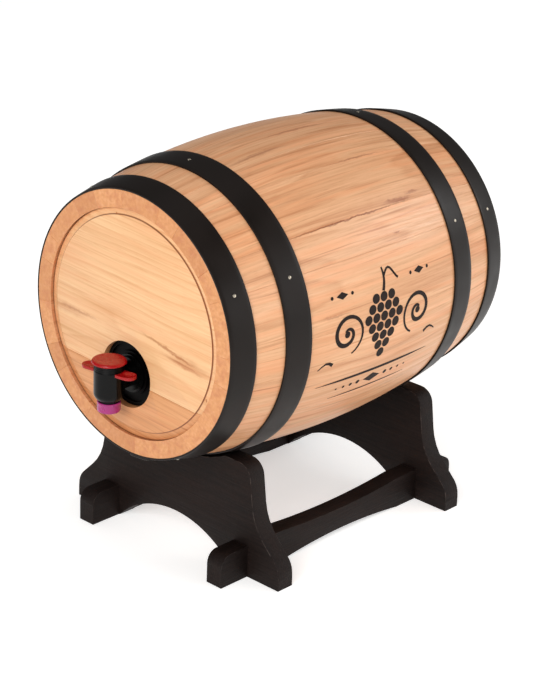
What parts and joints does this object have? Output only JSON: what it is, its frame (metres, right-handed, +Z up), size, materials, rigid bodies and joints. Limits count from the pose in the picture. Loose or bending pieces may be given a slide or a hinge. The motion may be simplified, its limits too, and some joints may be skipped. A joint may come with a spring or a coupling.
{
  "type": "oak cask liquor dispenser",
  "caption": "Small bilged oak cask on a halved black wooden stand, made to cover a bag of wine, with four black steel hoops, a red press tap in the front head and a rear lid.",
  "frame": {"origin": "on the floor, under the middle of the whole object", "axes": "+Z up, +Y from the tapped front head to the rear lid, +X to the right as seen from the tap's side"},
  "size_m": [0.282, 0.3938, 0.371],
  "materials": {
    "oak_staves": "satin",
    "oak_heads": "satin",
    "black_steel": "satin",
    "nail_steel": "bright",
    "magnet_steel": "bright",
    "black_plastic": "gloss",
    "red_plastic": "gloss",
    "black_rubber": "matte",
    "white_plastic": "satin",
    "pink_plastic": "translucent",
    "bag_film": "metallised film",
    "black_wood": "black stain, satin"
  },
  "bodies": {
    "stand": {"front_cradle": "black_wood", "rear_cradle": "black_wood", "left_rail": "black_wood", "right_rail": "black_wood"},
    "cask": {"stave_01": "oak_staves", "stave_02": "oak_staves", "stave_03": "oak_staves", "stave_04": "oak_staves", "stave_05": "oak_staves", "stave_06": "oak_staves", "stave_07": "oak_staves", "stave_08": "oak_staves", "stave_09": "oak_staves", "stave_10": "oak_staves", "stave_11": "oak_staves", "stave_12": "oak_staves", "stave_13": "oak_staves", "stave_14": "oak_staves", "stave_15": "oak_staves", "stave_16": "oak_staves", "stave_17": "oak_staves", "stave_18": "oak_staves", "stave_19": "oak_staves", "stave_20": "oak_staves", "hoop_front_end": "black_steel", "hoop_front_inner": "black_steel", "hoop_rear_inner": "black_steel", "hoop_rear_end": "black_steel", "nails_front_end": "nail_steel", "nails_front_inner": "nail_steel", "nails_rear_inner": "nail_steel", "nails_rear_end": "nail_steel", "front_head_upper": "oak_heads", "front_head_lower": "oak_heads", "tap_collar": "black_plastic", "bag_spout": "black_plastic", "wine_bag": "bag_film", "tap_body": "black_plastic", "finger_wings": "red_plastic", "button_boot": "black_rubber", "rear_ring": "oak_heads", "ring_magnets": "magnet_steel"},
    "button": {"press_button": "red_plastic", "valve_stem": "white_plastic", "valve_seal": "black_rubber"},
    "cap": {"nozzle_cap": "pink_plastic"},
    "lid": {"lid_upper": "oak_heads", "lid_lower": "oak_heads", "lid_battens": "oak_heads", "batten_screws": "nail_steel", "lid_magnets": "magnet_steel"}
  },
  "joints": [
    {"name": "cask_lift", "type": "slide", "parent": "stand", "child": "cask", "axis": [0, 0, 1], "range_m": [0, 0.15]},
    {"name": "button_press", "type": "slide", "parent": "cask", "child": "button", "axis": [0, 0, -1], "range_m": [0, 0.004], "stiffness_N_per_m": 2000, "springref_m": -0.0015, "deforming": ["button_boot"]},
    {"name": "cap_pull", "type": "slide", "parent": "cask", "child": "cap", "axis": [0, 0, -1], "range_m": [0, 0.03]},
    {"name": "lid_pull", "type": "slide", "parent": "cask", "child": "lid", "axis": [0, 1, 0], "range_m": [0, 0.04]}
  ]
}
